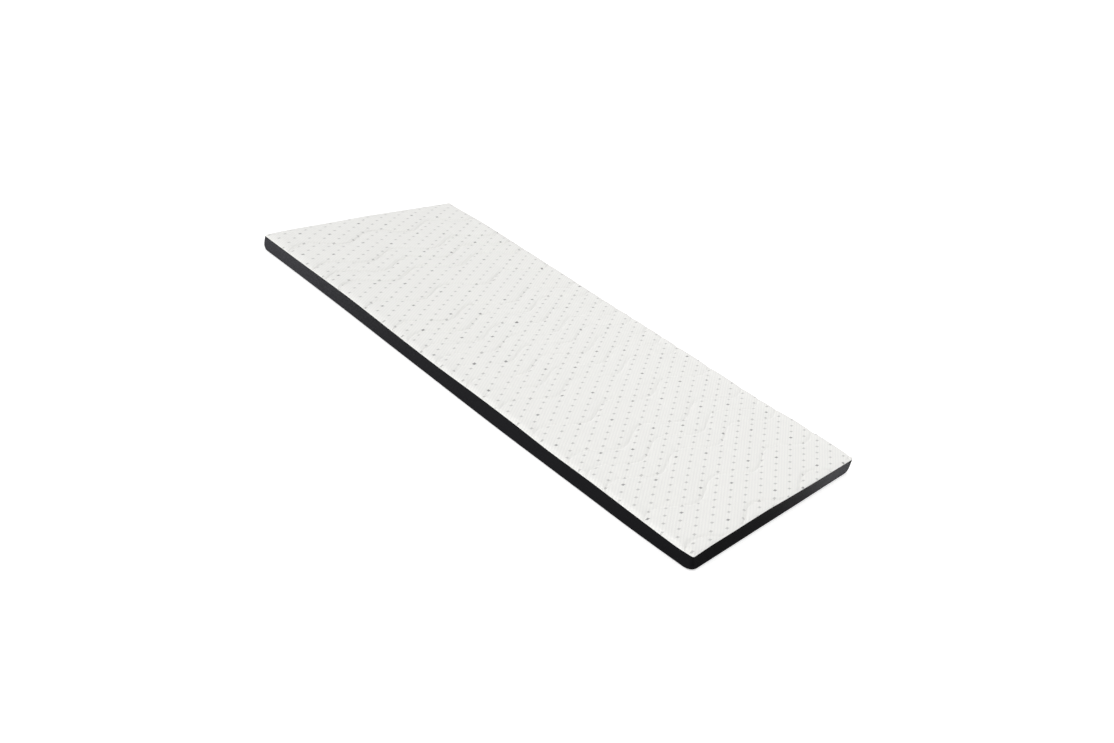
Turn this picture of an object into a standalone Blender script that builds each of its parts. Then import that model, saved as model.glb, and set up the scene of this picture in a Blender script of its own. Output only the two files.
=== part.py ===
"""Mattress topper lying flat: a filled top with wavy sewn channels, a side border and a base panel.

Metres, +Z up, origin under the middle of the base. +X runs along the length, +Y across the width.
"""

import math

import bmesh
import bpy
import numpy as np

# Plan of the whole topper
LENGTH = 2.000
WIDTH = 0.900

# Heights above the surface it lies on
BASE_TOP = 0.0022
FIELD_HEIGHT = 0.0600
SEAM_HEIGHT = 0.0526

# Cloth and clearances
BORDER_CLOTH = 0.0026
CLEARANCE = 0.0007

# Top panel: its edge rolls down to the seam and ends in a small lip
SEAM_RADIUS = 0.006
LIP_INSET = 0.0008
LIP_UNDERCUT = 0.0008
LIP_HEIGHT = 0.0030
ROLL_WIDTH = 0.024
ROLL_POWER = 2.2

# Sewn channels, in the order they run along the length
QUILT_UNIT = 0.07365
QUILT_START = -0.8588
QUILT_LINES = (0, 2, 3, 4, 6, 8, 9, 10, 11, 12, 13, 14, 15, 17, 19, 20, 21, 23, 25)
WAVE_REACH = 0.026
WAVE_PERIOD = 0.306
WAVE_CREST = 0.080
WAVE_SKEW = -0.0165
CHANNEL_DEPTH = 0.0022
CHANNEL_HALF = 0.0080
CHANNEL_SHOULDER = 0.0115
PILLOW_RATIO = 0.016
PILLOW_POWER = 2.2

# Middle of the plan's outermost reach, which the origin lies under
MIDDLE_X = 0.0032
MIDDLE_Y = 0.0004

# Spacing of the mesh lines
EDGE_STEPS = (0.0, 0.002, 0.0042, 0.0072, 0.012, 0.020, 0.030, 0.040)
ROW_STEP = WAVE_PERIOD / 10
PILLOW_STEP = 0.045
CLOSEST_COLUMNS = 0.005
WARP_FADE = 0.090

# How the long sides lie: station along the length, then on the -Y side the rise of the seam, the
# reach of the whole side and the further reach of its foot, and on the +Y side the rise of the
# seam and the reach of the whole side
SIDE_EDGE = (
    (-1.00, -0.0036, 0.0000, 0.0026, -0.0026, 0.0000),
    (-0.80, -0.0020, 0.0000, 0.0006, 0.0038, 0.0000),
    (-0.50, 0.0020, 0.0000, 0.0000, 0.0036, 0.0000),
    (-0.24, -0.0024, 0.0000, 0.0026, 0.0024, 0.0000),
    (-0.05, -0.0042, 0.0000, 0.0038, 0.0012, 0.0000),
    (0.14, -0.0014, 0.0000, 0.0052, 0.0018, 0.0000),
    (0.30, -0.0016, 0.0000, 0.0050, 0.0004, 0.0000),
    (0.45, -0.0044, 0.0000, 0.0030, -0.0008, 0.0000),
    (0.62, -0.0020, 0.0000, 0.0004, -0.0014, 0.0000),
    (0.80, -0.0024, 0.0000, -0.0022, 0.0020, 0.0004),
    (0.90, -0.0020, 0.0000, -0.0062, 0.0018, 0.0020),
    (0.95, -0.0021, -0.0014, -0.0076, 0.0002, 0.0040),
    (1.00, -0.0022, -0.0080, -0.0028, -0.0010, 0.0062),
)

# How the ends lie: station across the width, rise of the seam at the +X end, how far it is
# drawn in, reach of the foot, rise of the seam at the -X end
END_EDGE = (
    (-0.45, -0.0022, -0.0012, 0.0078, -0.0036),
    (-0.36, 0.0002, 0.0002, 0.0074, 0.0008),
    (-0.25, 0.0008, 0.0006, 0.0068, 0.0018),
    (-0.14, 0.0020, 0.0014, 0.0060, 0.0028),
    (-0.06, 0.0022, 0.0018, 0.0055, 0.0036),
    (0.03, 0.0010, 0.0010, 0.0050, 0.0038),
    (0.12, 0.0002, 0.0004, 0.0045, 0.0018),
    (0.30, -0.0006, 0.0000, 0.0031, -0.0012),
    (0.45, -0.0010, 0.0000, 0.0022, -0.0026),
)
FAR_FOOT_SHARE = 0.1
EDGE_REACH = 0.16
SETTLE_FROM = 0.004
SETTLE_FULL = 0.050

# Border band from its turned-under lower edge up to the seam: height, inset, corner radius
BORDER_LEVELS = (
    (0.0008, 0.0052, 0.0270),
    (0.0012, 0.0022, 0.0285),
    (0.0050, 0.0003, 0.0250),
    (0.0150, 0.0000, 0.0140),
    (0.0280, 0.0000, 0.0100),
    (0.0460, 0.0004, 0.0070),
    (SEAM_HEIGHT, 0.0016, 0.0064),
)
CORNER_EASE = 0.120
BASE_INSET = BORDER_LEVELS[0][1] + CLEARANCE
BASE_ROUNDING = 0.0006
SHARP_ANGLE = math.radians(38)

COLLECTION = "mattress_topper"


def clear_scene():
    for obj in list(bpy.data.objects):
        bpy.data.objects.remove(obj, do_unlink=True)


def new_material(name, colour, roughness):
    """A cloth finish of one colour."""
    material = bpy.data.materials.new(name)
    material.use_nodes = True
    shader = material.node_tree.nodes["Principled BSDF"]
    shader.inputs["Base Color"].default_value = (*colour, 1.0)
    shader.inputs["Roughness"].default_value = roughness
    shader.inputs["Metallic"].default_value = 0.0
    return material


def eased(table, station, column):
    """A column of a table as one smooth line through its stations."""
    stations = [row[0] for row in table]
    values = [row[column] for row in table]
    station = min(max(station, stations[0]), stations[-1])
    i = min(int(np.searchsorted(stations, station, side="right")) - 1, len(table) - 2)
    slopes = np.gradient(values, stations)
    span = stations[i + 1] - stations[i]
    t = (station - stations[i]) / span
    level = 2 * t**3 - 3 * t**2 + 1
    start = level * values[i] + (t**3 - 2 * t**2 + t) * span * slopes[i]
    return float(start + (1 - level) * values[i + 1] + (t**3 - t**2) * span * slopes[i + 1])


def smooth_step(t):
    t = min(max(t, 0.0), 1.0)
    return t * t * (3 - 2 * t)


def channel_middles():
    """Where each sewn channel's middle lies along the length."""
    return [QUILT_START + QUILT_UNIT * k for k in QUILT_LINES]


def channel_sway(x, y):
    """How far a channel lies from its middle here. Its crests drift sideways a little along the length."""
    crest = WAVE_CREST + WAVE_SKEW * x
    return WAVE_REACH * math.cos(2 * math.pi * (y - crest) / WAVE_PERIOD)


def field_height(x, y):
    """The quilted face away from its edges: pillows between narrow channels."""
    s = x - channel_sway(x, y)
    middles = channel_middles()
    ends = [-LENGTH / 2 - WAVE_REACH] + middles + [LENGTH / 2 + WAVE_REACH]
    i = min(max(int(np.searchsorted(ends, s)), 1), len(ends) - 1)
    gap = ends[i] - ends[i - 1]
    t = min(max((s - ends[i - 1]) / gap, 0.0), 1.0)
    pillow = PILLOW_RATIO * gap * (1 - abs(2 * t - 1) ** PILLOW_POWER)
    nearest = min(abs(s - m) for m in middles)
    groove = CHANNEL_DEPTH * math.exp(-((nearest / CHANNEL_HALF) ** 2))
    return FIELD_HEIGHT + pillow - groove


def settled(x, y, z):
    """How unevenly the topper lies: its seams rise, fall and draw in, and its foot reaches out."""
    weight = smooth_step((z - SETTLE_FROM) / (SETTLE_FULL - SETTLE_FROM))
    near_side = smooth_step(1 - (WIDTH / 2 - abs(y)) / EDGE_REACH)
    near_end = smooth_step(1 - (LENGTH / 2 - abs(x)) / EDGE_REACH)
    side_rise = eased(SIDE_EDGE, x, 1 if y < 0 else 4)
    side_reach = eased(SIDE_EDGE, x, 2 if y < 0 else 5)
    side_foot = eased(SIDE_EDGE, x, 3) if y < 0 else 0.0
    end_rise = eased(END_EDGE, y, 1 if x > 0 else 4)
    end_draw = eased(END_EDGE, y, 2)
    end_foot = eased(END_EDGE, y, 3) * (1.0 if x > 0 else FAR_FOOT_SHARE)
    rise = side_rise * near_side * (1 - near_end) + end_rise * near_end
    out = end_foot * (1 - weight) - end_draw * weight
    moved_x = x + math.copysign(1.0, x) * out * near_end
    sideways = side_foot * (1 - weight) + side_reach
    moved_y = y + math.copysign(1.0, y) * sideways * near_side
    return moved_x - MIDDLE_X, moved_y - MIDDLE_Y, z + rise * weight


def mesh_columns():
    """Mesh lines along the length: three at each channel, more at the ends and on wide pillows."""
    half = LENGTH / 2 - LIP_INSET
    kept = [half - step for step in EDGE_STEPS] + [step - half for step in EDGE_STEPS]
    for middle in channel_middles():
        for shift in (0.0, -CHANNEL_SHOULDER, CHANNEL_SHOULDER):
            if all(abs(middle + shift - other) > CLOSEST_COLUMNS for other in kept):
                kept.append(middle + shift)
    kept.sort()
    columns = [kept[0]]
    for value in kept[1:]:
        gap = value - columns[-1]
        parts = max(1, round(gap / PILLOW_STEP))
        start = columns[-1]
        columns += [start + gap * (n + 1) / parts for n in range(parts)]
    return columns


def mesh_rows():
    """Mesh lines across the width: even, closer together at both sides."""
    half = WIDTH / 2 - LIP_INSET
    inner = half - EDGE_STEPS[-1]
    count = round(2 * inner / ROW_STEP)
    middle = [-inner + 2 * inner * n / count for n in range(1, count)]
    low = [step - half for step in EDGE_STEPS]
    high = [half - step for step in reversed(EDGE_STEPS)]
    return low + middle + high


def rounded(x, y):
    """Draws the square corners of the top panel's plan into round ones."""
    centre_x = LENGTH / 2 - LIP_INSET - SEAM_RADIUS
    centre_y = WIDTH / 2 - LIP_INSET - SEAM_RADIUS
    dx = abs(x) - centre_x
    dy = abs(y) - centre_y
    if dx <= 0 or dy <= 0:
        return x, y
    scale = max(dx, dy) / math.hypot(dx, dy)
    return math.copysign(centre_x + dx * scale, x), math.copysign(centre_y + dy * scale, y)


def face_point(u, v):
    """A point of the quilted face. The mesh lines sway with the channels, and lie still at the ends."""
    half_x = LENGTH / 2 - LIP_INSET
    half_y = WIDTH / 2 - LIP_INSET
    sway = channel_sway(u, v) * smooth_step((half_x - abs(u) - SEAM_RADIUS) / WARP_FADE)
    to_end = half_x - abs(u + sway)
    to_side = half_y - abs(v)
    edge = min(to_end, to_side)
    x, y = rounded(u + sway, v)
    roll = 1 - (1 - min(max(edge / ROLL_WIDTH, 0.0), 1.0)) ** ROLL_POWER
    lip = SEAM_HEIGHT + CLEARANCE + LIP_HEIGHT
    return settled(x, y, lip + (field_height(x, y) - lip) * roll)


def rim_plan(columns, rows):
    """The mesh lines that meet the edge, once round: (place along, place across, grid index)."""
    last_column = len(columns) - 1
    last_row = len(rows) - 1
    walk = [(i, 0) for i in range(last_column)]
    walk += [(last_column, j) for j in range(last_row)]
    walk += [(last_column - i, last_row) for i in range(last_column)]
    walk += [(0, last_row - j) for j in range(last_row)]
    return [(columns[i], rows[j], (i, j)) for i, j in walk]


def coarse_rim(rim):
    """Every second place along the straight sides, and all of them at the corners."""
    half_x = LENGTH / 2 - LIP_INSET
    half_y = WIDTH / 2 - LIP_INSET
    kept = []
    for n, (u, v, _) in enumerate(rim):
        at_corner = half_x - abs(u) < EDGE_STEPS[-1] and half_y - abs(v) < EDGE_STEPS[-1]
        if at_corner or n % 2 == 0:
            kept.append(n)
    return kept


def rim_point(u, v, inset, radius, z):
    """The place on an inset outline with round corners that faces the rim's place (u, v)."""
    top_x = LENGTH / 2 - LIP_INSET
    top_y = WIDTH / 2 - LIP_INSET
    half_x = LENGTH / 2 - inset
    half_y = WIDTH / 2 - inset
    from_x = top_x - abs(u)
    from_y = top_y - abs(v)
    if max(from_x, from_y) < SEAM_RADIUS:
        angle = math.atan2(SEAM_RADIUS - from_y, SEAM_RADIUS - from_x)
        x = half_x - radius + radius * math.cos(angle)
        y = half_y - radius + radius * math.sin(angle)
    elif from_y < from_x:
        pull = (half_x - radius) - (top_x - SEAM_RADIUS)
        x = abs(u) + pull * (1 - smooth_step((from_x - SEAM_RADIUS) / CORNER_EASE))
        y = half_y
    else:
        pull = (half_y - radius) - (top_y - SEAM_RADIUS)
        x = half_x
        y = abs(v) + pull * (1 - smooth_step((from_y - SEAM_RADIUS) / CORNER_EASE))
    return settled(math.copysign(x, u), math.copysign(y, v), z)


def ring_of(bm, rim, inset, radius, z):
    """One closed row of vertices round the topper."""
    return [bm.verts.new(rim_point(u, v, inset, radius, z)) for u, v, _ in rim]


def join_rings(bm, first, second, crossed=False):
    """Triangles between two rows of the same count. Facing walls are cut along the same diagonals."""
    count = len(first)
    for n in range(count):
        m = (n + 1) % count
        if crossed:
            bm.faces.new((first[n], first[m], second[n]))
            bm.faces.new((first[m], second[m], second[n]))
        else:
            bm.faces.new((first[n], first[m], second[m]))
            bm.faces.new((first[n], second[m], second[n]))


def mark_sharp(bm):
    for edge in bm.edges:
        edge.smooth = edge.calc_face_angle(0.0) < SHARP_ANGLE
    for face in bm.faces:
        face.smooth = True


def add_object(bm, name, material):
    bmesh.ops.recalc_face_normals(bm, faces=bm.faces)
    mark_sharp(bm)
    mesh = bpy.data.meshes.new(name)
    bm.to_mesh(mesh)
    bm.free()
    mesh.materials.append(material)
    obj = bpy.data.objects.new(name, mesh)
    bpy.data.collections[COLLECTION].objects.link(obj)
    return obj


def border_inside():
    """The border's inner face: height, inset and corner radius of each level."""
    levels = []
    for n, (z, inset, radius) in enumerate(BORDER_LEVELS):
        lift = BORDER_CLOTH if n < 2 else 0.0
        inward = 0.0 if n == 0 else BORDER_CLOTH
        levels.append((z + lift, inset + inward, radius - inward))
    return levels


def straighten(span):
    """Sets the vertices between the two ends of a short stretch on the line that joins the ends."""
    start = span[0].co
    run = span[-1].co - start
    for vert in span[1:-1]:
        vert.co = start + run * ((vert.co - start).dot(run) / run.length_squared)


def build_top():
    """The filled top: quilted face, lip, and the body that fills the border."""
    columns = mesh_columns()
    rows = mesh_rows()
    bm = bmesh.new()
    grid = [[bm.verts.new(face_point(u, v)) for v in rows] for u in columns]
    for i in range(len(columns) - 1):
        for j in range(len(rows) - 1):
            bm.faces.new((grid[i][j], grid[i + 1][j], grid[i + 1][j + 1], grid[i][j + 1]))
    rim = rim_plan(columns, rows)
    top_edge = [grid[i][j] for _, _, (i, j) in rim]
    under = SEAM_HEIGHT + CLEARANCE
    undercut = LIP_INSET + LIP_UNDERCUT
    lip = ring_of(bm, rim, undercut, SEAM_RADIUS - LIP_UNDERCUT, under)
    join_rings(bm, lip, top_edge)
    kept = coarse_rim(rim)
    coarse = [rim[n] for n in kept]
    inside = border_inside()
    top_inset = inside[-1][1] + CLEARANCE
    wall = ring_of(bm, coarse, top_inset, inside[-1][2] - CLEARANCE, under)
    for n, first in enumerate(kept):
        after = kept[(n + 1) % len(kept)]
        last = after if after > first else len(lip)
        span = [lip[m % len(lip)] for m in range(first, last + 1)]
        straighten(span)
        bm.faces.new([wall[n], wall[(n + 1) % len(wall)]] + span[::-1])
    for z, inset, radius in reversed(inside[:-1]):
        lift = CLEARANCE if z < inside[3][0] else 0.0
        lower = ring_of(bm, coarse, inset + CLEARANCE, radius - CLEARANCE, z + lift)
        join_rings(bm, lower, wall)
        wall = lower
    foot_inset = BASE_INSET + CLEARANCE
    foot = ring_of(bm, coarse, foot_inset, BORDER_LEVELS[0][2] - CLEARANCE, BASE_TOP + CLEARANCE)
    join_rings(bm, foot, wall)
    bm.faces.new(foot[::-1])
    return add_object(bm, "quilted_top", new_material("knit_white", (0.86, 0.86, 0.85), 0.85)), coarse


def build_border(coarse):
    """The side band: one closed ring of cloth, turned under at its lower edge."""
    bm = bmesh.new()
    outer = [ring_of(bm, coarse, inset, radius, z) for z, inset, radius in BORDER_LEVELS]
    inner = [ring_of(bm, coarse, inset, radius, z) for z, inset, radius in border_inside()]
    for below, above in zip(outer, outer[1:]):
        join_rings(bm, below, above)
    join_rings(bm, outer[-1], inner[-1])
    downward = inner[::-1]
    for above, below in zip(downward, downward[1:]):
        join_rings(bm, above, below, crossed=True)
    join_rings(bm, inner[0], outer[0])
    return add_object(bm, "side_border", new_material("border_dark", (0.022, 0.022, 0.024), 0.80))


def build_base(coarse):
    """The base panel: a flat sheet with its edge rounded a little."""
    radius = BORDER_LEVELS[0][2]
    bm = bmesh.new()
    levels = (
        (0.0, BASE_INSET + BASE_ROUNDING),
        (BASE_ROUNDING, BASE_INSET),
        (BASE_TOP - BASE_ROUNDING, BASE_INSET),
        (BASE_TOP, BASE_INSET + BASE_ROUNDING),
    )
    rings = [ring_of(bm, coarse, inset, radius, z) for z, inset in levels]
    for lower, upper in zip(rings, rings[1:]):
        join_rings(bm, lower, upper)
    bm.faces.new(rings[0][::-1])
    bm.faces.new(rings[-1])
    return add_object(bm, "base_panel", new_material("base_dark", (0.030, 0.030, 0.032), 0.85))


def main():
    clear_scene()
    collection = bpy.data.collections.new(COLLECTION)
    bpy.context.scene.collection.children.link(collection)
    _, coarse = build_top()
    build_border(coarse)
    build_base(coarse)


main()
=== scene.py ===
"""Looks of the mattress topper: quilted knit top, dark side border, base panel and quilting thread.

Metres, +Z up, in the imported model's frame: +X along the length, +Y across the width.
"""

import math

import bmesh
import bpy
import numpy as np
from mathutils import Matrix, Vector


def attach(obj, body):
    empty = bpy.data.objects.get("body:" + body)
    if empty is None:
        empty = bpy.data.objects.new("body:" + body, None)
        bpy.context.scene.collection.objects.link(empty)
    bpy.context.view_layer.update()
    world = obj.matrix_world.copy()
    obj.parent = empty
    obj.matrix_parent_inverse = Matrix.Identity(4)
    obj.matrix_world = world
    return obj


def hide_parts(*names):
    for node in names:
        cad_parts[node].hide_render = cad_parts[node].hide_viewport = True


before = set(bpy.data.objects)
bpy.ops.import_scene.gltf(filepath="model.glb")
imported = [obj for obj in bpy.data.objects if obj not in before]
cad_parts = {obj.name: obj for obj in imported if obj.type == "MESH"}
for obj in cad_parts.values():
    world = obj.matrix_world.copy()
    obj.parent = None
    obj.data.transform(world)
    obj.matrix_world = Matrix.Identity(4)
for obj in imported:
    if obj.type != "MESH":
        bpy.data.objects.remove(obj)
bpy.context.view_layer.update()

# Plan and heights, as in the solids
LENGTH = 2.000
WIDTH = 0.900
BASE_TOP = 0.0022
FIELD_HEIGHT = 0.0600
SEAM_HEIGHT = 0.0526
BORDER_CLOTH = 0.0026
CLEARANCE = 0.0007
LIP_INSET = 0.0008
LIP_HEIGHT = 0.0030
SEAM_RADIUS = 0.006

# How the face rolls down at its edge, more tightly than in the solids: over what width, and the
# power of its curve. Along the long sides a low rim adds to it: its rise, how far in its crest
# lies, and the width over which it falls to the face.
ROLL_WIDTH = 0.015
ROLL_POWER = 2.2
RIM_RISE = 0.0022
RIM_CREST = 0.009
RIM_FALL = 0.045

# Towards -X the edge rolls down more gently and the channels are deeper: where that starts, over
# what length, how much wider the roll gets, what share of its rim is lost, and the further depth
GENTLE_FROM = 0.20
GENTLE_RUN = 0.90
GENTLE_WIDTH = 0.017
GENTLE_RIM = 0.6
GENTLE_DEPTH = 0.40

# Sewn channels: they run across the width on some of the lines that lie a unit apart
QUILT_UNIT = 0.07365
QUILT_START = -0.8588
QUILT_LINES = (0, 2, 3, 4, 6, 8, 9, 10, 11, 12, 13, 14, 15, 17, 19, 20, 21, 23, 25)

# How each channel waves: reach to either side, length of one wave, where a crest lies across the
# width, and how that place moves for each metre of length
WAVE_REACH = 0.026
WAVE_PERIOD = 0.306
WAVE_CREST = 0.080
WAVE_SKEW = -0.0165

# A channel's depth, how far from its middle the cloth comes up again, the round at its bottom,
# and how far from the face's edge it ends. Close to both ends of the topper the seam pulls it
# deeper: by what share, from how far along the length, and over what stretch.
CHANNEL_DEPTH = 0.0038
CHANNEL_FALL = 0.0047
CHANNEL_ROUND = 0.0008
CHANNEL_END = 0.006
END_PULL = 0.8
END_PULL_FROM = 0.935
END_PULL_REACH = 0.030

# Between two channels the face rises by a share of the gap, in a curve of this power. The mesh
# lines, which follow the channels' wave, straighten out over the last stretch before the ends.
PILLOW_RATIO = 0.016
PILLOW_POWER = 2.2
WARP_FADE = 0.090

# Middle of the plan's outermost reach, which the origin lies under
MIDDLE_X = 0.0032
MIDDLE_Y = 0.0004

# How the long sides lie: station along the length, then on the -Y side the rise of the seam, the
# reach of the whole side and the further reach of its foot, and on the +Y side the rise of the
# seam and the reach of the whole side
NEAR_RISE, NEAR_REACH, NEAR_FOOT, FAR_RISE, FAR_REACH = range(1, 6)
SIDE_EDGE = np.array((
    (-1.00, -0.0036, 0.0000, 0.0026, -0.0026, 0.0000),
    (-0.80, -0.0020, 0.0000, 0.0006, 0.0038, 0.0000),
    (-0.50, 0.0020, 0.0000, 0.0000, 0.0036, 0.0000),
    (-0.24, -0.0024, 0.0000, 0.0026, 0.0024, 0.0000),
    (-0.05, -0.0042, 0.0000, 0.0038, 0.0012, 0.0000),
    (0.14, -0.0014, 0.0000, 0.0052, 0.0018, 0.0000),
    (0.30, -0.0016, 0.0000, 0.0050, 0.0004, 0.0000),
    (0.45, -0.0044, 0.0000, 0.0030, -0.0008, 0.0000),
    (0.62, -0.0020, 0.0000, 0.0004, -0.0014, 0.0000),
    (0.80, -0.0024, 0.0000, -0.0022, 0.0020, 0.0004),
    (0.90, -0.0020, 0.0000, -0.0062, 0.0018, 0.0020),
    (0.95, -0.0021, -0.0014, -0.0076, 0.0002, 0.0040),
    (1.00, -0.0022, -0.0080, -0.0028, -0.0010, 0.0062),
))

# How the ends lie: station across the width, rise of the seam at the +X end, how far the seam of
# either end is drawn in, reach of the foot at the +X end, rise of the seam at the -X end
HEAD_RISE, END_DRAW, HEAD_FOOT, TAIL_RISE = range(1, 5)
END_EDGE = np.array((
    (-0.45, -0.0022, -0.0012, 0.0078, -0.0036),
    (-0.36, 0.0002, 0.0002, 0.0074, 0.0008),
    (-0.25, 0.0008, 0.0006, 0.0068, 0.0018),
    (-0.14, 0.0020, 0.0014, 0.0060, 0.0028),
    (-0.06, 0.0022, 0.0018, 0.0055, 0.0036),
    (0.03, 0.0010, 0.0010, 0.0050, 0.0038),
    (0.12, 0.0002, 0.0004, 0.0045, 0.0018),
    (0.30, -0.0006, 0.0000, 0.0031, -0.0012),
    (0.45, -0.0010, 0.0000, 0.0022, -0.0026),
))

# The -X end's foot reaches out by this share of the +X end's. What the tables give fades out over
# a distance from the edges, and what they give for the seam sets in between these two heights.
TAIL_FOOT_SHARE = 0.1
EDGE_REACH = 0.16
SETTLE_FROM = 0.004
SETTLE_FULL = 0.050

# The face's outer edge is a round lip. Below it the outline's corners get rounder, and its points
# shift along the sides to suit them, over this distance from each corner.
ROUND_LIP = 0.0026
LIP_STEPS = 4
CORNER_EASE = 0.120

# Fine mesh lines: distances from the panel's edge, and from each channel's middle
EDGE_STEPS = (
    0.0, 0.0008, 0.0017, 0.0027, 0.004, 0.006, 0.008,
    0.0105, 0.013, 0.016, 0.019, 0.0225, 0.026,
)
CHANNEL_STEPS = (0.0, 0.0016, 0.0034, 0.0054, 0.0078, 0.0108, 0.0145)
BORDER_CHANNEL_STEPS = (0.0, 0.0060)
BASE_CHANNEL_STEPS = (0.0,)

# Steps between mesh lines: near the ends and how far in these hold, on the pillows, across the
# width, and on the base. A channel's lines keep this far from the others.
END_STEP = 0.0020
END_REACH = 0.100
PILLOW_STEP = 0.010
ROW_STEP = 0.0054
BASE_STEP = 0.020
CLOSEST_COLUMNS = 0.0012

# Cloth simulation of the sewn panel: its mesh, the filling's push, the cloth's stiffness and spare
# length, its accuracy and length in frames, and how far it may move the face
CLOTH_STEP = 0.009
CLOTH_PRESSURE = 0.6
CLOTH_STIFFNESS = 20.0
CLOTH_BENDING = 1.0
CLOTH_SLACK = 0.002
CLOTH_QUALITY = 6
CLOTH_FRAMES = 18
CLOTH_REACH = 0.0008

# Border band from its turned-under lower edge up to its rolled-in top edge: height, inset, radius
BORDER_LEVELS = (
    (0.0009, 0.0064, 0.0262),
    (0.0006, 0.0046, 0.0272),
    (0.0010, 0.0028, 0.0282),
    (0.0022, 0.0014, 0.0276),
    (0.0050, 0.0003, 0.0250),
    (0.0095, 0.0000, 0.0192),
    (0.0150, 0.0000, 0.0142),
    (0.0210, 0.0000, 0.0118),
    (0.0280, 0.0000, 0.0100),
    (0.0370, 0.0002, 0.0084),
    (0.0460, 0.0005, 0.0072),
    (0.0500, 0.0010, 0.0067),
    (0.0518, 0.0016, 0.0063),
    (0.0526, 0.0026, 0.0055),
)
# The band's inner face: how far behind the outer one, above its lowest edge and below the seam
BORDER_BACK = 0.0020
BACK_ABOVE_FOOT = 0.0014
BACK_BELOW_SEAM = 0.0012

# The lip's tuck into the seam: how far below it, and how far in from the lip. Then the top of the
# wall inside the border: how far below the seam, and how much further in.
TUCK_LEVELS = (
    (0.0, 0.0007),
    (0.0002, 0.0024),
)
WALL_DROP = 0.0004
WALL_INSET = 0.0016

# The filled body inside the border, from the seam down: height, and the border's inset and radius
BODY_LEVELS = (
    (0.0280, 0.0002, 0.0100),
    (0.0150, 0.0000, 0.0142),
    (0.0065, 0.0006, 0.0236),
)
FOOT_INSET = 0.0068
FOOT_RADIUS = 0.0214

# Base panel, from its underside up: height, and the inset of its rounded edge
BASE_INSET = 0.0072
BASE_RADIUS = 0.0256
BASE_LEVELS = (
    (0.0, 0.0008),
    (0.0003, 0.0002),
    (0.0009, 0.0),
    (BASE_TOP - 0.0006, 0.0),
    (BASE_TOP - 0.0002, 0.0002),
    (BASE_TOP, 0.0008),
)

# Quilting thread: its stitches' spacing and length, how far they keep from the face's sides and
# the topper's ends, and the steps in which a channel is measured for each stitch
STITCH_PITCH = 0.0044
STITCH_LENGTH = 0.0032
SIDE_MARGIN = 0.012
END_MARGIN = 0.016
MEASURE_STEPS = 24

# The thread's radius and sides, how far a stitch's ends dip and how far its middle stands up
THREAD_RADIUS = 0.00016
THREAD_SIDES = 5
THREAD_DIP = 0.00035
THREAD_LIFT = 0.00002

# One stitch from end to end: share of its length, of its dip and of its radius
STITCH_PROFILE = np.array((
    (0.0, 1.0, 0.55),
    (0.18, 0.25, 0.95),
    (0.5, 0.0, 1.0),
    (0.82, 0.25, 0.95),
    (1.0, 1.0, 0.55),
))

# Knit pattern: the two families of lines that its dots sit on. Each row gives the number of the
# line at a place as a start, steps per metre along X and Y, and how the pull of the panel bows it
# in X squared, X times Y and Y squared.
DOT_COLUMNS = (-0.1831, 20.46, 11.47, -0.76, 0.47, -0.14)
DOT_ROWS = (12.2862, 10.69, -23.16, 1.28, 0.0, -0.75)

# Darker dots: the dots down a column are counted, each column starts some steps on, and in every
# cycle of the count these places are dark. The count is read half a step on, so that no dot lies
# where a cycle starts again, and to this tolerance.
DARK_CYCLE = 21
DARK_STEP = 9
DARK_PLACES = (0, 5)
HALF_STEP = 0.5
COUNT_TOLERANCE = 0.4

# Each dot is two crossed bars, one along its column and one that looks level to the camera: half
# length and half width of each, and the second one's direction in degrees. A bar fades to nothing
# at this squared distance from its middle, in half sizes.
UPRIGHT_BAR = (0.0049, 0.0027)
LEVEL_BAR = (0.0070, 0.0023)
LEVEL_ANGLE = 68
BAR_FADE = 1.5

# How strongly a dot colours the knit, what a dark one adds, and the two values of the normal's Z
# between which the dots fade where the cloth stands steep
DOT_STRENGTH = 0.37
DARK_EXTRA = 0.40
DOT_STEEP = 0.40
DOT_FLAT = 0.75

# Ribs and loops of the knit: how many there are, how far the ribs and slight clouds shade it on
# either side of the mean, and how high the ribs, the loops and the dots stand, or how deep
RIBS_PER_COLUMN = 5
WALES_PER_COLUMN = 40
COURSES_PER_ROW = 32
MEAN_SHADE = 0.24
RIB_SHADE = 0.24
CLOUD_SHADE = 0.05
RIB_RELIEF = -0.00012
LOOP_RELIEF = 0.00012
DOT_RELIEF = -0.00015

# Colours: each cloth is mixed from its two
KNIT_LIGHT = (0.889, 0.886, 0.857, 1)
KNIT_SHADED = (0.784, 0.781, 0.767, 1)
DOT_GREY = (0.10, 0.10, 0.105, 1)
BORDER_DARK = (0.0046, 0.0046, 0.0054, 1)
BORDER_LIGHT = (0.0056, 0.0056, 0.0066, 1)
BASE_DARK = (0.026, 0.026, 0.028, 1)
BASE_LIGHT = (0.036, 0.036, 0.038, 1)
THREAD_DARK = (0.84, 0.84, 0.83, 1)
THREAD_LIGHT = (0.88, 0.88, 0.87, 1)
FLOOR_GREY = (0.90, 0.90, 0.90, 1)
PURE_WHITE = (1, 1, 1, 1)

# Pitch and height of the plain weaves and of the thread's twist, and of the border's slight waves
BORDER_WEAVE = 0.0011
BORDER_WEAVE_RELIEF = 0.00005
BORDER_WAVE_RELIEF = 0.0005
BASE_WEAVE = 0.0016
BASE_WEAVE_RELIEF = 0.00008
THREAD_TWIST = 0.0005
THREAD_TWIST_RELIEF = 0.00003

# Camera: where it stands, its three axes, its focal length and the picture's width in pixels, the
# sensor's width in millimetres, and how far it sees
CAMERA_PLACE = (1.96445, -2.62179, 1.83894)
CAMERA_RIGHT = (0.70652, 0.66941, 0.22962)
CAMERA_UP = (-0.49574, 0.23659, 0.83562)
CAMERA_LOOK = (-0.50505, 0.70422, -0.49901)
FOCAL_PIXELS = 1089.0
IMAGE_WIDTH = 1114
SENSOR_WIDTH = 36.0
CAMERA_SIGHT = 200.0

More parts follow.
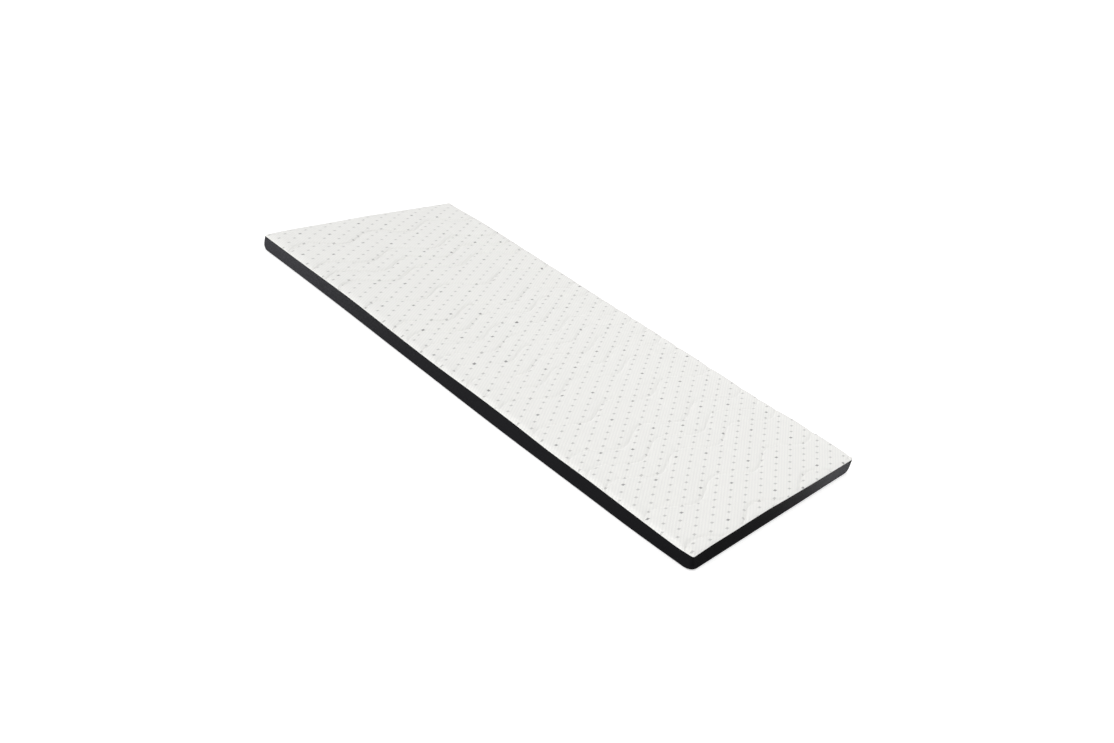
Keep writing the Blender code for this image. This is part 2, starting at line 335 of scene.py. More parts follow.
# The studio floor's size and glow
FLOOR_SIZE = 120.0
FLOOR_GLOW = 0.45


# ---------------------------------------------------------------- shape of the topper

def eased(table, at, column):
    """A column of a table as one smooth line through its stations, read at the places given."""
    return smooth_line(table[:, 0], table[:, column], at)


def smooth_line(stations, values, at):
    """The smooth line through (stations, values), read at the places given."""
    at = np.clip(at, stations[0], stations[-1])
    i = np.clip(np.searchsorted(stations, at, side="right") - 1, 0, len(stations) - 2)
    slopes = np.gradient(values, stations, axis=0)
    span = stations[i + 1] - stations[i]
    t = (at - stations[i]) / span
    if values.ndim > 1:
        t = t[:, None]
        span = span[:, None]
    level = 2 * t**3 - 3 * t**2 + 1
    start = level * values[i] + (t**3 - 2 * t**2 + t) * span * slopes[i]
    return start + (1 - level) * values[i + 1] + (t**3 - t**2) * span * slopes[i + 1]


def smooth_step(t):
    """From 0 at t = 0 to 1 at t = 1, level at both ends."""
    t = np.clip(t, 0.0, 1.0)
    return t * t * (3 - 2 * t)


def channel_middles():
    """Where each sewn channel's middle lies along the length."""
    return QUILT_START + QUILT_UNIT * np.array(QUILT_LINES)


def channel_sway(x, y):
    """How far a channel lies from its middle here. Its crests drift a little along the length."""
    crest = WAVE_CREST + WAVE_SKEW * x
    return WAVE_REACH * np.cos(2 * math.pi * (y - crest) / WAVE_PERIOD)


def pillow_height(x, y):
    """The filled face between its channels, before they are drawn in."""
    s = x - channel_sway(x, y)
    ends = np.concatenate((
        [-LENGTH / 2 - WAVE_REACH],
        channel_middles(),
        [LENGTH / 2 + WAVE_REACH],
    ))
    i = np.clip(np.searchsorted(ends, s), 1, len(ends) - 1)
    gap = ends[i] - ends[i - 1]
    t = np.clip((s - ends[i - 1]) / gap, 0.0, 1.0)
    return FIELD_HEIGHT + PILLOW_RATIO * gap * (1 - np.abs(2 * t - 1) ** PILLOW_POWER)


def gentle_share(x):
    """0 towards +X, 1 towards -X."""
    return smooth_step((GENTLE_FROM - x) / GENTLE_RUN)


def groove_depth(x, y):
    """How deep the sewn line draws the face in."""
    s = x - channel_sway(x, y)
    nearest = np.min(np.abs(s[..., None] - channel_middles()), axis=-1)
    fall = np.hypot(nearest, CHANNEL_ROUND) - CHANNEL_ROUND
    pull = 1 + END_PULL * smooth_step((np.abs(x) - END_PULL_FROM) / END_PULL_REACH)
    pull = pull + GENTLE_DEPTH * gentle_share(x)
    return CHANNEL_DEPTH * pull * np.exp(-fall / CHANNEL_FALL)


def settled(x, y, z):
    """How unevenly the topper lies: its seams rise, fall and draw in, and its foot reaches out."""
    weight = smooth_step((z - SETTLE_FROM) / (SETTLE_FULL - SETTLE_FROM))
    near_side = smooth_step(1 - (WIDTH / 2 - np.abs(y)) / EDGE_REACH)
    near_end = smooth_step(1 - (LENGTH / 2 - np.abs(x)) / EDGE_REACH)
    near = y < 0
    side_rise = np.where(near, eased(SIDE_EDGE, x, NEAR_RISE), eased(SIDE_EDGE, x, FAR_RISE))
    side_reach = np.where(near, eased(SIDE_EDGE, x, NEAR_REACH), eased(SIDE_EDGE, x, FAR_REACH))
    side_foot = np.where(near, eased(SIDE_EDGE, x, NEAR_FOOT), 0.0)
    end_rise = np.where(x > 0, eased(END_EDGE, y, HEAD_RISE), eased(END_EDGE, y, TAIL_RISE))
    end_draw = eased(END_EDGE, y, END_DRAW)
    end_foot = eased(END_EDGE, y, HEAD_FOOT) * np.where(x > 0, 1.0, TAIL_FOOT_SHARE)
    rise = side_rise * near_side * (1 - near_end) + end_rise * near_end
    out = end_foot * (1 - weight) - end_draw * weight
    moved_x = x + np.copysign(1.0, x) * out * near_end
    moved_y = y + np.copysign(1.0, y) * (side_foot * (1 - weight) + side_reach) * near_side
    return np.stack((moved_x - MIDDLE_X, moved_y - MIDDLE_Y, z + rise * weight), axis=-1)


def panel_halves():
    """Half the length and width of the panel's face, inside its rounded lip."""
    inset = LIP_INSET + ROUND_LIP
    return LENGTH / 2 - inset, WIDTH / 2 - inset


def fine_columns(channel_steps, pillow_step, end_step):
    """Mesh lines along the length: dense at the channels and the ends, even on the pillows."""
    half = panel_halves()[0]
    further = np.arange(EDGE_STEPS[-1] + end_step, END_REACH, end_step)
    from_end = np.concatenate((EDGE_STEPS, further))
    kept = list(half - from_end) + list(from_end - half)
    for middle in channel_middles():
        for step in channel_steps:
            for place in (middle - step, middle + step):
                if abs(place) < half and min(abs(place - k) for k in kept) > CLOSEST_COLUMNS:
                    kept.append(place)
    return filled_in(sorted(kept), pillow_step)


def fine_rows(row_step):
    """Mesh lines across the width: even, dense at both sides."""
    half = panel_halves()[1]
    kept = [step - half for step in EDGE_STEPS] + [half - step for step in reversed(EDGE_STEPS)]
    return filled_in(kept, row_step)


def filled_in(places, longest):
    """The places, with the gaps that are longer than this shared out evenly."""
    lines = [places[0]]
    for place in places[1:]:
        start = lines[-1]
        parts = max(1, round((place - start) / longest))
        lines += [start + (place - start) * (n + 1) / parts for n in range(parts)]
    return np.array(lines)


def rounded(x, y):
    """Draws the square corners of the face's plan into round ones."""
    half_x, half_y = panel_halves()
    radius = SEAM_RADIUS - ROUND_LIP
    dx = np.abs(x) - (half_x - radius)
    dy = np.abs(y) - (half_y - radius)
    corner = (dx > 0) & (dy > 0)
    length = np.where(corner, np.hypot(dx, dy), 1.0)
    scale = np.where(corner, np.maximum(dx, dy) / length, 1.0)
    round_x = np.where(corner, np.copysign(half_x - radius + dx * scale, x), x)
    round_y = np.where(corner, np.copysign(half_y - radius + dy * scale, y), y)
    return round_x, round_y


def face_plan(u, v):
    """Where a mesh line crossing lies in plan, and how far it is from the lip's outer edge."""
    half_x, half_y = panel_halves()
    sway = channel_sway(u, v) * smooth_step((half_x - np.abs(u) - SEAM_RADIUS) / WARP_FADE)
    edge = np.minimum(half_x - np.abs(u + sway), half_y - np.abs(v)) + ROUND_LIP
    x, y = rounded(u + sway, v)
    return x, y, edge


def lip_top():
    """Height of the lip's top, where the rolled face starts."""
    return SEAM_HEIGHT + CLEARANCE + LIP_HEIGHT


def rolled_height(x, y, edge, puff=0.0):
    """The filled face, rolled down at its edge, before the channels draw it in. Puff adds to it."""
    gentle = gentle_share(x)
    width = ROLL_WIDTH + GENTLE_WIDTH * gentle
    roll = 1 - (1 - np.clip(edge / width, 0.0, 1.0)) ** ROLL_POWER
    side = WIDTH / 2 - np.abs(y)
    rim = smooth_step(edge / RIM_CREST) * (1 - smooth_step((side - RIM_CREST) / RIM_FALL))
    rim = rim * (1 - GENTLE_RIM * gentle)
    return lip_top() + (pillow_height(x, y) + puff - lip_top()) * roll + RIM_RISE * rim


def face_height(x, y, edge, puff=0.0):
    """Height of the quilted face, with its channels."""
    return rolled_height(x, y, edge, puff) - groove_depth(x, y) * smooth_step(edge / CHANNEL_END)


def face_points(u, v, puff=0.0):
    """Points of the quilted face at the mesh lines' crossings."""
    x, y, edge = face_plan(u, v)
    return settled(x, y, face_height(x, y, edge, puff))


def rim_places(columns, rows):
    """The crossings on the face's edge, once round, as (u, v, column index, row index)."""
    last_i = len(columns) - 1
    last_j = len(rows) - 1
    walk = [(i, 0) for i in range(last_i)]
    walk += [(last_i, j) for j in range(last_j)]
    walk += [(last_i - i, last_j) for i in range(last_i)]
    walk += [(0, last_j - j) for j in range(last_j)]
    i, j = np.array(walk).T
    return columns[i], rows[j], i, j


def rim_ring(u, v, inset, radius, z):
    """Points on an inset outline with round corners that face the rim's places."""
    top_x, top_y = panel_halves()
    top_radius = SEAM_RADIUS - ROUND_LIP
    half_x = LENGTH / 2 - inset
    half_y = WIDTH / 2 - inset
    from_x = top_x - np.abs(u)
    from_y = top_y - np.abs(v)
    angle = np.arctan2(top_radius - from_y, top_radius - from_x)
    corner = np.maximum(from_x, from_y) < top_radius
    along = ~corner & (from_y < from_x)
    pull_x = half_x - radius - (top_x - top_radius)
    pull_y = half_y - radius - (top_y - top_radius)
    side_x = np.abs(u) + pull_x * (1 - smooth_step((from_x - top_radius) / CORNER_EASE))
    side_y = np.abs(v) + pull_y * (1 - smooth_step((from_y - top_radius) / CORNER_EASE))
    round_x = half_x - radius + radius * np.cos(angle)
    round_y = half_y - radius + radius * np.sin(angle)
    x = np.where(corner, round_x, np.where(along, side_x, half_x))
    y = np.where(corner, round_y, np.where(along, half_y, side_y))
    return settled(np.copysign(x, u), np.copysign(y, v), np.broadcast_to(z, x.shape))


# ---------------------------------------------------------------- meshes

def new_object(name, points, faces, material):
    """A smooth-shaded object from points and faces, with its faces pointing out."""
    mesh = bpy.data.meshes.new(name)
    mesh.from_pydata([tuple(p) for p in points], [], faces)
    bm = bmesh.new()
    bm.from_mesh(mesh)
    bmesh.ops.recalc_face_normals(bm, faces=bm.faces)
    bm.to_mesh(mesh)
    bm.free()
    mesh.shade_smooth()
    if material:
        mesh.materials.append(material)
    obj = bpy.data.objects.new(name, mesh)
    bpy.context.scene.collection.objects.link(obj)
    return obj


def grid_faces(count_u, count_v):
    """Quads of a grid of points."""
    index = np.arange(count_u * count_v).reshape(count_u, count_v)
    corners = (index[:-1, :-1], index[1:, :-1], index[1:, 1:], index[:-1, 1:])
    return np.stack([c.ravel() for c in corners], axis=1).tolist()


def ring_faces(first, second):
    """Quads between two rows of indices of the same count."""
    return np.stack((first, np.roll(first, -1), np.roll(second, -1), second), axis=1).tolist()


def stacked_faces(start, count, rings):
    """Quads between each ring of points and the next, for rings that follow one another."""
    faces = []
    for n in range(rings - 1):
        first = start + n * count + np.arange(count)
        faces += ring_faces(first, first + count)
    return faces


def pressed_panel(lines, rows):
    """How the filling pushes the sewn panel up, from a cloth simulation on coarser mesh lines."""
    half_x, half_y = panel_halves()
    middles = [m for m in channel_middles() if abs(m) < half_x - CLOTH_STEP]
    cloth_lines = filled_in([-half_x, *middles, half_x], CLOTH_STEP)
    cloth_rows = filled_in([-half_y, half_y], CLOTH_STEP)
    u, v = np.meshgrid(cloth_lines, cloth_rows, indexing="ij")
    x, y, edge = face_plan(u, v)
    start = np.stack((x, y, rolled_height(x, y, edge)), axis=-1)
    sheet = new_object("panel_cloth", start.reshape(-1, 3), grid_faces(*u.shape), None)
    sewn = np.isin(u, middles) | (np.abs(u) == half_x) | (np.abs(v) == half_y)
    group = sheet.vertex_groups.new(name="sewn")
    group.add(np.flatnonzero(sewn).tolist(), 1.0, "REPLACE")
    cloth = sheet.modifiers.new("cloth", "CLOTH")
    settings = cloth.settings
    settings.quality = CLOTH_QUALITY
    settings.tension_stiffness = CLOTH_STIFFNESS
    settings.compression_stiffness = CLOTH_STIFFNESS
    settings.bending_stiffness = CLOTH_BENDING
    settings.use_pressure = True
    settings.uniform_pressure_force = CLOTH_PRESSURE
    settings.shrink_min = -CLOTH_SLACK
    settings.vertex_group_mass = "sewn"
    settings.effector_weights.gravity = 0.0
    cloth.point_cache.frame_end = CLOTH_FRAMES
    for number in range(1, CLOTH_FRAMES + 1):
        bpy.context.scene.frame_set(number)
    shaped = sheet.evaluated_get(bpy.context.evaluated_depsgraph_get()).data
    heights = np.array([vert.co.z for vert in shaped.vertices]).reshape(u.shape)
    bpy.context.scene.frame_set(1)
    bpy.data.objects.remove(sheet)
    rise = CLOTH_REACH * np.tanh((heights - start[..., 2]) / CLOTH_REACH)
    along = smooth_line(cloth_lines, rise, lines)
    return smooth_line(cloth_rows, along.T, rows).T


def build_cover(material):
    """The quilted top and the filled body under it, one closed form."""
    columns = fine_columns(CHANNEL_STEPS, PILLOW_STEP, END_STEP)
    rows = fine_rows(ROW_STEP)
    u, v = np.meshgrid(columns, rows, indexing="ij")
    puff = pressed_panel(columns, rows)
    points = [face_points(u, v, puff).reshape(-1, 3)]
    faces = grid_faces(len(columns), len(rows))
    rim_u, rim_v, i, j = rim_places(columns, rows)
    last = i * len(rows) + j
    count = len(rows) * len(columns)
    for z, inset, radius in cover_rings():
        ring = rim_ring(rim_u, rim_v, inset, radius, z)
        index = np.arange(count, count + len(ring))
        points.append(ring)
        faces += ring_faces(last, index)
        last = index
        count += len(ring)
    faces.append(last.tolist())
    return new_object("topper_cover", np.concatenate(points), faces, material)


def cover_rings():
    """The lip's round, its tuck into the seam, and the body's wall: height, inset, corner radius."""
    rings = []
    for n in range(1, LIP_STEPS + 1):
        angle = math.pi / 2 * n / LIP_STEPS
        inset = LIP_INSET + ROUND_LIP * (1 - math.sin(angle))
        height = lip_top() - ROUND_LIP * (1 - math.cos(angle))
        rings.append((height, inset, SEAM_RADIUS + LIP_INSET - inset))
    seam = SEAM_HEIGHT + CLEARANCE
    for drop, inset in TUCK_LEVELS:
        rings.append((seam - drop, LIP_INSET + inset, SEAM_RADIUS - inset))
    wall = BORDER_CLOTH + 2 * CLEARANCE
    rings.append((seam - WALL_DROP, wall + WALL_INSET, SEAM_RADIUS - wall))
    for z, inset, radius in BODY_LEVELS:
        rings.append((z, inset + wall, radius - wall))
    rings.append((BASE_TOP + CLEARANCE, FOOT_INSET, FOOT_RADIUS))
    return rings


def build_border(material):
    """The side band: a closed ring of cloth, turned under below and rolled in at the seam."""
    columns = fine_columns(BORDER_CHANNEL_STEPS, PILLOW_STEP, PILLOW_STEP)
    rows = fine_rows(PILLOW_STEP)
    u, v, _, _ = rim_places(columns, rows)
    outer = [rim_ring(u, v, inset, radius, z) for z, inset, radius in BORDER_LEVELS]
    inner = []
    lowest = BORDER_LEVELS[0][0] + BACK_ABOVE_FOOT
    highest = SEAM_HEIGHT - BACK_BELOW_SEAM
    for z, inset, radius in reversed(BORDER_LEVELS[1:-1]):
        height = min(max(z, lowest), highest)
        inner.append(rim_ring(u, v, inset + BORDER_BACK, radius - BORDER_BACK, height))
    rings = outer + inner
    count = len(u)
    faces = stacked_faces(0, count, len(rings))
    first = np.arange(count)
    last = first + (len(rings) - 1) * count
    faces += ring_faces(last, first)
    return new_object("border_band", np.concatenate(rings), faces, material)


def build_base(material):
    """The base panel: a flat sheet with a rounded edge."""
    columns = fine_columns(BASE_CHANNEL_STEPS, BASE_STEP, BASE_STEP)
    rows = fine_rows(BASE_STEP)
    u, v, _, _ = rim_places(columns, rows)
    rings = [rim_ring(u, v, BASE_INSET + edge, BASE_RADIUS, z) for z, edge in BASE_LEVELS]
    count = len(u)
    first = np.arange(count)
    faces = [first[::-1].tolist()]
    faces += stacked_faces(0, count, len(rings))
    faces.append((first + (len(rings) - 1) * count).tolist())
    return new_object("base_cloth", np.concatenate(rings), faces, material)


def build_stitches(material):
    """The quilting thread: short stitches that lie end to end in every channel."""
    half_y = panel_halves()[1] - SIDE_MARGIN
    shares = STITCH_PROFILE[:, 0]
    ring = np.arange(THREAD_SIDES)
    points = []
    faces = []
    count = 0
    for middle in channel_middles():
        y = np.arange(-half_y, half_y, STITCH_PITCH / MEASURE_STEPS)
        x = middle + channel_sway(middle, y)
        run = np.concatenate(([0.0], np.cumsum(np.hypot(np.diff(x), np.diff(y)))))
        for start in np.arange(0.0, run[-1] - STITCH_LENGTH, STITCH_PITCH):
            stitch_y = np.interp(start + STITCH_LENGTH * shares, run, y)
            stitch_x = middle + channel_sway(middle, stitch_y)
            if np.max(np.abs(stitch_x)) > LENGTH / 2 - END_MARGIN:
                continue
            points.append(stitch_points(stitch_x, stitch_y))
            faces += stacked_faces(count, THREAD_SIDES, len(shares))
            faces.append((count + ring)[::-1].tolist())
            count += len(shares) * THREAD_SIDES
            faces.append((count - THREAD_SIDES + ring).tolist())
    return new_object("quilting_thread", np.concatenate(points), faces, material)


def surface_at(x, y):
    """Points of the quilted face, for places in its plan before it settles."""
    half_x, half_y = panel_halves()
    edge = np.minimum(half_x - np.abs(x), half_y - np.abs(y)) + ROUND_LIP
    return settled(x, y, face_height(x, y, edge))


def stitch_points(x, y):
    """Rings of points round one stitch, whose two ends dip into the cloth."""
    _, dips, sizes = STITCH_PROFILE.T
    centre = surface_at(x, y)
    centre[:, 2] += THREAD_LIFT - THREAD_DIP * dips
    forward = centre[-1] - centre[0]
    forward /= np.linalg.norm(forward)
    side = np.array((-forward[1], forward[0], 0.0))
    side /= np.linalg.norm(side)
    up = np.cross(forward, side)
    angles = 2 * math.pi * np.arange(THREAD_SIDES) / THREAD_SIDES
    around = np.cos(angles)[:, None] * side + np.sin(angles)[:, None] * up
    radii = THREAD_RADIUS * sizes[:, None, None]
    return (centre[:, None, :] + radii * around[None]).reshape(-1, 3)


# ---------------------------------------------------------------- materials

class Recipe:
    """Short ways to add nodes to one material."""

    def __init__(self, name, roughness):
        self.material = bpy.data.materials.new(name)
        self.material.use_nodes = True
        self.tree = self.material.node_tree
        self.shader = self.tree.nodes["Principled BSDF"]
        self.shader.inputs["Roughness"].default_value = roughness

    def feed(self, source, socket):
        """Sets a socket to a number or colour, or joins it to another node's output."""
        if isinstance(source, bpy.types.NodeSocket):
            self.tree.links.new(source, socket)
        else:
            socket.default_value = source

    def math(self, operation, *values, clamp=False):
        """The result of one operation on numbers or other nodes' outputs."""
        node = self.tree.nodes.new("ShaderNodeMath")
        node.operation = operation
        node.use_clamp = clamp
        for value, socket in zip(values, node.inputs):
            self.feed(value, socket)
        return node.outputs[0]

    def weighted(self, *pairs):
        """The sum of number times value over the pairs."""
        total = 0.0
        for number, value in pairs:
            total = self.math("MULTIPLY_ADD", value, number, total)
        return total

    def place(self):
        """The point's own place in metres: as a vector, and its X, Y and Z."""
        where = self.tree.nodes.new("ShaderNodeTexCoord").outputs["Object"]
        split = self.tree.nodes.new("ShaderNodeSeparateXYZ")
        self.tree.links.new(where, split.inputs[0])
        return where, split.outputs["X"], split.outputs["Y"], split.outputs["Z"]

    def levelness(self, steep, flat):
        """1 where the normal's Z is at least the flat value, 0 where it is under the steep one."""
        normal = self.tree.nodes.new("ShaderNodeNewGeometry").outputs["Normal"]
        split = self.tree.nodes.new("ShaderNodeSeparateXYZ")
        self.tree.links.new(normal, split.inputs[0])
        share = 1 / (flat - steep)
        return self.math("MULTIPLY_ADD", split.outputs["Z"], share, -steep * share, clamp=True)

    def wave(self, value, pitch):
        """A sine wave of this pitch along a value."""
        return self.math("SINE", self.math("MULTIPLY", value, 2 * math.pi / pitch))

    def weave(self, first, second, pitch):
        """Plain cloth with threads of one pitch along both values."""
        return self.math("MULTIPLY", self.wave(first, pitch), self.wave(second, pitch))

    def noise(self, where, scale):
        """Soft clouds from 0 to 1, so many to a metre."""
        node = self.tree.nodes.new("ShaderNodeTexNoise")
        node.inputs["Scale"].default_value = scale
        self.tree.links.new(where, node.inputs["Vector"])
        return node.outputs["Fac"]

    def mix_colours(self, factor, first, second):
        """The first colour where the factor is 0, and the second where it is 1."""
        node = self.tree.nodes.new("ShaderNodeMix")
        node.data_type = "RGBA"
        sockets = [s for s in node.inputs if s.type == "RGBA"]
        self.feed(factor, node.inputs[0])
        self.feed(first, sockets[0])
        self.feed(second, sockets[1])
        return [s for s in node.outputs if s.type == "RGBA"][0]

    def colour(self, source):
        """Gives the surface its colour."""
        self.feed(source, self.shader.inputs["Base Color"])

    def bump(self, height):
        """Raises the surface by a height in metres."""
        node = self.tree.nodes.new("ShaderNodeBump")
        node.inputs["Distance"].default_value = 1.0
        self.tree.links.new(height, node.inputs["Height"])
        self.tree.links.new(node.outputs["Normal"], self.shader.inputs["Normal"])


def line_number(recipe, row, x, y):
    """Which line of the knit a place lies on, with the fraction between two lines."""
    start, *factors = row
    xx = recipe.math("MULTIPLY", x, x)
    xy = recipe.math("MULTIPLY", x, y)
    yy = recipe.math("MULTIPLY", y, y)
    total = recipe.weighted(*zip(factors, (x, y, xx, xy, yy)))
    return recipe.math("ADD", total, start)


def knit_steps():
    """One step across the columns and one step down a column, in metres of plan."""
    grid = np.array((DOT_COLUMNS[1:3], DOT_ROWS[1:3]))
    steps = np.linalg.inv(grid)
    return steps[:, 0], steps[:, 1]


def bar_mask(recipe, across, down, angle, half_sizes):
    """A small soft bar round each dot's middle: 1 inside, 0 outside."""
    step_across, step_down = knit_steps()
    run = np.array((math.cos(angle), math.sin(angle)))
    side = np.array((-run[1], run[0]))
    parts = []
    for direction, half in zip((run, side), half_sizes):
        per_column = float(step_across @ direction) / half
        per_row = float(step_down @ direction) / half
        value = recipe.weighted((per_column, across), (per_row, down))
        parts.append(recipe.math("MULTIPLY", value, value))
    reach = recipe.math("ADD", *parts)
    return recipe.math("SUBTRACT", BAR_FADE, reach, clamp=True)


def dark_dots(recipe, column, row):
    """1 at the dots that are darker, from the whole numbers of their column and row."""
    count = recipe.math("MULTIPLY_ADD", column, float(DARK_STEP), row)
    count = recipe.math("ADD", count, HALF_STEP)
    count = recipe.math("FLOORED_MODULO", count, float(DARK_CYCLE))
    dark = 0.0
    for place in DARK_PLACES:
        here = recipe.math("COMPARE", count, place + HALF_STEP, COUNT_TOLERANCE)
        dark = recipe.math("MAXIMUM", here, dark)
    return dark


def knit_material():
    """White knit: fine slanting ribs, and small grey dots of which a few are darker."""
    recipe = Recipe("knit_white", roughness=0.85)
    where, x, y, _ = recipe.place()
    column = line_number(recipe, DOT_COLUMNS, x, y)
    row = line_number(recipe, DOT_ROWS, x, y)
    whole_column = recipe.math("ROUND", column)
    whole_row = recipe.math("ROUND", row)
    across = recipe.math("SUBTRACT", column, whole_column)
    down = recipe.math("SUBTRACT", row, whole_row)
    _, step_down = knit_steps()
    column_angle = math.atan2(step_down[1], step_down[0])
    upright = bar_mask(recipe, across, down, column_angle, UPRIGHT_BAR)
    level = bar_mask(recipe, across, down, math.radians(LEVEL_ANGLE), LEVEL_BAR)
    dot = recipe.math("MAXIMUM", upright, level)
    dark = dark_dots(recipe, whole_column, whole_row)
    strength = recipe.math("MULTIPLY_ADD", dark, DARK_EXTRA, DOT_STRENGTH)
    dot_share = recipe.math("MULTIPLY", dot, strength)
    dot_share = recipe.math("MULTIPLY", dot_share, recipe.levelness(DOT_STEEP, DOT_FLAT))

    rib = recipe.math("COSINE", recipe.math("MULTIPLY", column, 2 * math.pi * RIBS_PER_COLUMN))
    wale = recipe.math("SINE", recipe.math("MULTIPLY", column, math.pi * WALES_PER_COLUMN))
    course = recipe.math("SINE", recipe.math("MULTIPLY", row, math.pi * COURSES_PER_ROW))
    wale = recipe.math("ABSOLUTE", wale)
    course = recipe.math("ABSOLUTE", course)
    loops = recipe.math("MULTIPLY", wale, course)

    shade = recipe.weighted((RIB_SHADE, rib), (CLOUD_SHADE, recipe.noise(where, scale=9.0)))
    shade = recipe.math("ADD", shade, MEAN_SHADE, clamp=True)
    white = recipe.mix_colours(shade, KNIT_LIGHT, KNIT_SHADED)
    recipe.colour(recipe.mix_colours(dot_share, white, DOT_GREY))
    recipe.bump(recipe.weighted((RIB_RELIEF, rib), (LOOP_RELIEF, loops), (DOT_RELIEF, dot)))
    recipe.shader.inputs["Specular IOR Level"].default_value = 0.40
    recipe.shader.inputs["Sheen Weight"].default_value = 0.50
    recipe.shader.inputs["Sheen Roughness"].default_value = 0.5
    return recipe.material


def border_material():
    """Fine dark cloth with a faint weave and a soft gloss."""
    recipe = Recipe("border_dark", roughness=0.70)
    where, x, y, z = recipe.place()
    weave = recipe.weave(recipe.math("ADD", x, y), z, BORDER_WEAVE)
    waves = recipe.noise(where, scale=30.0)
    recipe.colour(recipe.mix_colours(recipe.noise(where, scale=14.0), BORDER_DARK, BORDER_LIGHT))
    recipe.bump(recipe.weighted((BORDER_WEAVE_RELIEF, weave), (BORDER_WAVE_RELIEF, waves)))
    recipe.shader.inputs["Specular IOR Level"].default_value = 0.04
    recipe.shader.inputs["Sheen Weight"].default_value = 0.01
    recipe.shader.inputs["Sheen Roughness"].default_value = 0.4
    return recipe.material


def base_material():
    """Plain dark cloth of the hidden base, with a coarser weave."""
    recipe = Recipe("base_dark", roughness=0.85)
    where, x, y, _ = recipe.place()
    weave = recipe.weave(x, y, BASE_WEAVE)
    recipe.colour(recipe.mix_colours(recipe.noise(where, scale=12.0), BASE_DARK, BASE_LIGHT))
    recipe.bump(recipe.weighted((BASE_WEAVE_RELIEF, weave)))
    return recipe.material


def thread_material():
    """White sewing thread with a fine twist."""
    recipe = Recipe("thread_white", roughness=0.55)
    where, x, y, _ = recipe.place()
    twist = recipe.wave(recipe.math("SUBTRACT", y, x), THREAD_TWIST)
    recipe.colour(recipe.mix_colours(recipe.noise(where, scale=60.0), THREAD_DARK, THREAD_LIGHT))
    recipe.bump(recipe.weighted((THREAD_TWIST_RELIEF, twist)))
    recipe.shader.inputs["Sheen Weight"].default_value = 0.1
    return recipe.material


# ---------------------------------------------------------------- stage, light and camera

def floor_material():
    """Plain near-white studio floor."""
    recipe = Recipe("studio_floor", roughness=0.9)
    recipe.colour(FLOOR_GREY)
    recipe.shader.inputs["Specular IOR Level"].default_value = 0.0
    recipe.shader.inputs["Emission Color"].default_value = PURE_WHITE
    recipe.shader.inputs["Emission Strength"].default_value = FLOOR_GLOW
    return recipe.material


def build_floor():
    """The floor that the topper lies on, which counts as stage."""
    bpy.ops.mesh.primitive_plane_add(size=FLOOR_SIZE, location=(0, 0, 0))
    floor = bpy.context.object
    floor.name = "studio_floor"
    floor.data.materials.append(floor_material())
    floor.visible_glossy = False


# Low lamps that light the side border alone: name, place, what it faces, width, height, watts
SIDE_LAMPS = (
    ("near_left", (-0.96, -0.76, 0.030), (-0.90, -0.45, 0.030), 0.64, 0.036, 7.4),
    ("near_middle", (-0.46, -0.80, 0.030), (-0.46, -0.45, 0.030), 0.50, 0.036, 1.0),
    ("near_long", (0.10, -1.30, 0.030), (0.10, -0.45, 0.030), 1.60, 0.036, 9.6),
    ("end_right", (1.13, 0.53, 0.030), (1.0, 0.53, 0.030), 0.50, 0.036, 2.2),
    ("end_middle", (1.13, 0.17, 0.030), (1.0, 0.17, 0.030), 0.20, 0.036, 0.15),
)
# Box lamps, with the same columns
BOX_LAMPS = (
    ("right_box", (3.0, 2.0, 1.6), (0.6, 0.2, 0.0), 1.2, 1.2, 9.6),
    ("front_box", (1.0, -1.9, 1.0), (0.6, 0.0, 0.0), 0.9, 0.9, 1.3),
    ("left_box", (-1.5, 0.5, 1.5), (-0.8, 0.0, 0.0), 1.0, 1.0, 0.8),
    ("middle_box", (0.15, 0.30, 1.05), (0.15, 0.0, 0.0), 0.5, 0.5, 0.38),
)
# Wide even lamps: name, the way to the lamp, spread in degrees, strength
WIDE_LAMPS = (
    ("key", (-0.46, -0.86, 0.80), 40.0, 1.00),
    ("back", (0.10, 0.90, 0.60), 80.0, 0.15),
    ("overhead", (0.0, 0.0, 1.0), 120.0, 1.33),
)
SKY_STRENGTH = 0.291


def add_lamp(name, kind, facing):
    """A lamp that shines this way and isn't seen itself."""
    data = bpy.data.lights.new(name, kind)
    light = bpy.data.objects.new(name, data)
    light.rotation_euler = Vector(facing).to_track_quat("-Z", "Y").to_euler()
    light.visible_camera = False
    bpy.context.scene.collection.objects.link(light)
    return light


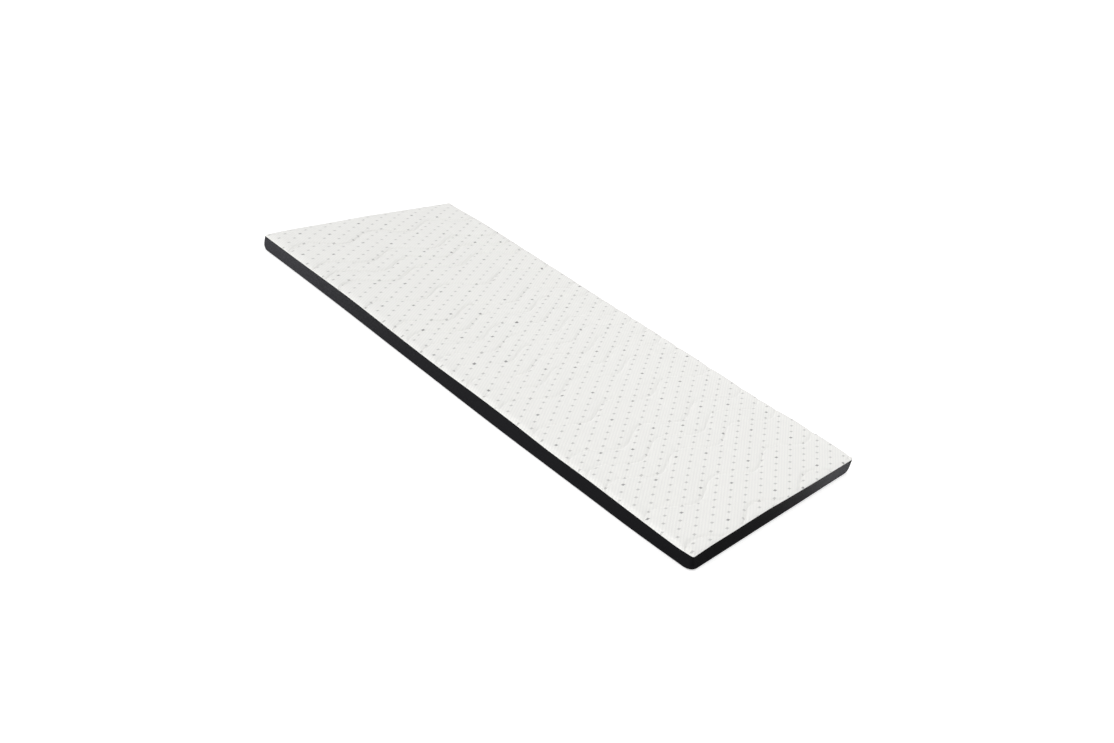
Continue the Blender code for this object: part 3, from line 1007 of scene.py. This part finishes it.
def build_lights():
    """The even sky and all the lamps."""
    world = bpy.data.worlds.new("studio")
    world.use_nodes = True
    background = world.node_tree.nodes["Background"]
    background.inputs["Color"].default_value = PURE_WHITE
    background.inputs["Strength"].default_value = SKY_STRENGTH
    bpy.context.scene.world = world
    for name, place, target, width, height, watts in SIDE_LAMPS + BOX_LAMPS:
        light = add_lamp(name, "AREA", Vector(target) - Vector(place))
        light.location = place
        light.data.shape = "RECTANGLE"
        light.data.size = width
        light.data.size_y = height
        light.data.energy = watts
    for name, towards, spread, strength in WIDE_LAMPS:
        light = add_lamp(name, "SUN", -Vector(towards))
        light.data.angle = math.radians(spread)
        light.data.energy = strength


def light_border_alone(border):
    """The low lamps light the side border and nothing else."""
    lit = bpy.data.collections.new("lit_by_side_lamps")
    lit.objects.link(border)
    for name, *_ in SIDE_LAMPS:
        bpy.data.objects[name].light_linking.receiver_collection = lit


def build_camera():
    """The camera of the photo."""
    data = bpy.data.cameras.new("camera")
    data.sensor_fit = "HORIZONTAL"
    data.sensor_width = SENSOR_WIDTH
    data.lens = SENSOR_WIDTH * FOCAL_PIXELS / IMAGE_WIDTH
    data.clip_end = CAMERA_SIGHT
    camera = bpy.data.objects.new("camera", data)
    turn = Matrix((CAMERA_RIGHT, CAMERA_UP, [-c for c in CAMERA_LOOK])).transposed()
    camera.matrix_world = Matrix.Translation(CAMERA_PLACE) @ turn.to_4x4()
    bpy.context.scene.collection.objects.link(camera)
    bpy.context.scene.camera = camera


def set_colours():
    """Shows the light as it falls, with no look added."""
    settings = bpy.context.scene.view_settings
    settings.view_transform = "Standard"
    settings.look = "None"
    settings.exposure = 0.0
    settings.gamma = 1.0


# ---------------------------------------------------------------- the topper, dressed

build_camera()
build_lights()
build_floor()
set_colours()

cover = build_cover(knit_material())
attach(cover, "root")
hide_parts("quilted_top")

border = build_border(border_material())
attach(border, "root")
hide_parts("side_border")
light_border_alone(border)

base = build_base(base_material())
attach(base, "root")
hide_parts("base_panel")

thread = build_stitches(thread_material())
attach(thread, "root")
